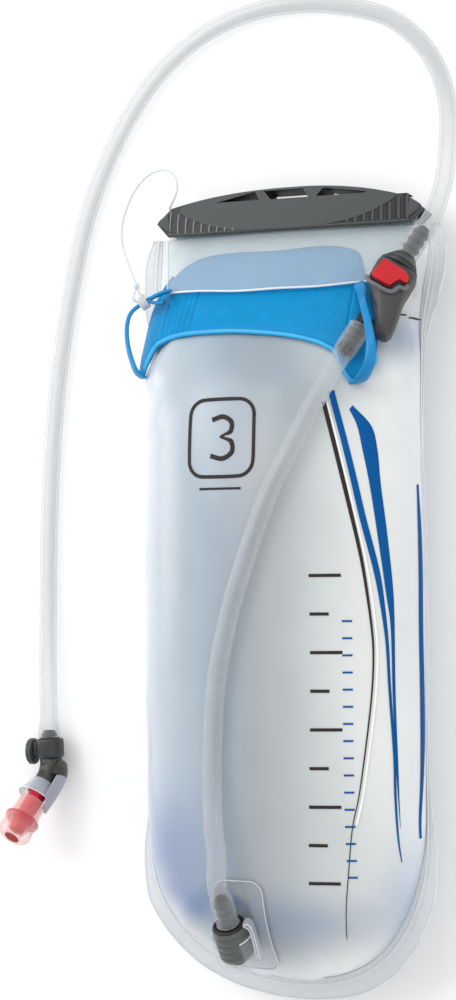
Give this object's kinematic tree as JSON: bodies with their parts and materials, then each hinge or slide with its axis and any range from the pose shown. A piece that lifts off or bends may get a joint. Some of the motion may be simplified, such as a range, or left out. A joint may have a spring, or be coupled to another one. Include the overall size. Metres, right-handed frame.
{
  "type": "hydration bladder",
  "caption": "Full soft water bladder on its back: slide-bar top, yoke with hand loops, outlet port, quick coupling with button, and a long hose to an angled bite valve with a magnet clip.",
  "frame": {"origin": "middle of the bag's flat back, on the floor", "axes": "+X to the right as seen from the front, +Y from the outlet end to the slide bar, +Z from the flat back to the front"},
  "size_m": [0.2489, 0.5181, 0.0954],
  "materials": {
    "bag_film": "milky translucent film over water",
    "film": "milky translucent film",
    "blue_rubber": "satin blue, slightly translucent",
    "grey_plastic": "satin mid grey",
    "dark_plastic": "satin dark grey",
    "light_grey_plastic": "satin light grey",
    "lilac_plastic": "satin light lilac grey",
    "red_plastic": "glossy red",
    "pink_silicone": "soft translucent pink",
    "clear_plastic": "clear",
    "hose": "clear to milky soft tube",
    "cord": "clear cord",
    "steel": "bright",
    "black_rubber": "matte black"
  },
  "bodies": {
    "bag": {"front_panel": "bag_film", "back_panel": "bag_film", "seam_flange": "film", "neck_fold": "film", "yoke": "blue_rubber", "yoke_loop_left": "blue_rubber", "yoke_loop_right": "blue_rubber", "tether": "cord", "tether_knot": "cord", "port_flange": "clear_plastic", "port_socket": "clear_plastic", "lower_hose": "hose", "coupling_body": "grey_plastic", "lower_barb": "dark_plastic", "latch_plate": "steel", "button_spring": "steel", "poppet_spring": "steel", "coupling_o_ring": "black_rubber", "upper_hose": "hose"},
    "bar": {"slide_bar": "grey_plastic"},
    "button": {"release_button": "red_plastic"},
    "plug_half": {"coupling_plug": "grey_plastic", "upper_barb": "dark_plastic"},
    "poppet": {"shutoff_poppet": "light_grey_plastic"},
    "valve": {"elbow_barb": "dark_plastic", "valve_elbow": "dark_plastic", "valve_shroud": "lilac_plastic", "valve_skirt": "clear_plastic"},
    "bite": {"bite_sheath": "pink_silicone", "valve_core": "red_plastic"},
    "magnet_clip": {"magnet_collar": "dark_plastic", "magnet_cup": "grey_plastic", "magnet": "steel"},
    "latch": {"port_latch": "clear_plastic"},
    "port_plug": {"hose_plug": "grey_plastic", "port_barb": "dark_plastic", "port_o_ring": "black_rubber"}
  },
  "joints": [
    {"name": "bar_slide", "type": "slide", "parent": "bag", "child": "bar", "axis": [-1, 0, 0], "range_m": [0, 0.105], "deforming": ["tether"]},
    {"name": "button_press", "type": "slide", "parent": "bag", "child": "button", "axis": [-0.3308, -0.3218, -0.8872], "range_m": [0, 0.0022], "stiffness_N_per_m": 300, "deforming": ["button_spring"]},
    {"name": "plug_release", "type": "slide", "parent": "bag", "child": "plug_half", "axis": [0.4023, 0.8023, -0.441], "range_m": [0, 0.014], "deforming": ["upper_hose"]},
    {"name": "poppet_close", "type": "slide", "parent": "bag", "child": "poppet", "axis": [0.4023, 0.8023, -0.441], "range_m": [0, 0.0018], "deforming": ["poppet_spring"]},
    {"name": "elbow_swivel", "type": "hinge", "parent": "bag", "child": "valve", "pos_m": [-0.144, -0.07, 0.0104], "axis": [-0.04, 0.9992, 0], "range_deg": [-65, 100]},
    {"name": "bite_twist", "type": "hinge", "parent": "valve", "child": "bite", "pos_m": [-0.1422, -0.0946, 0.0104], "axis": [-0.2601, -0.7563, 0.6003], "range_deg": [0, 90]},
    {"name": "magnet_swivel", "type": "hinge", "parent": "bag", "child": "magnet_clip", "pos_m": [-0.144, -0.07, 0.0104], "axis": [-0.04, 0.9992, 0], "range_deg": [0, 170]},
    {"name": "latch_flex", "type": "hinge", "parent": "bag", "child": "latch", "pos_m": [-0.00403, -0.17662, 0.0714], "axis": [-0.0359, 0.5123, -0.858], "range_deg": [0, 8], "stiffness_Nm_per_rad": 0.3},
    {"name": "port_plug_pull", "type": "slide", "parent": "bag", "child": "port_plug", "axis": [-0.0599, 0.856, 0.5136], "range_m": [0, 0.012], "deforming": ["lower_hose"]}
  ],
  "couplings": [
    {"joint": "poppet_close", "follows": "plug_release", "ratio": 0.1285}
  ]
}
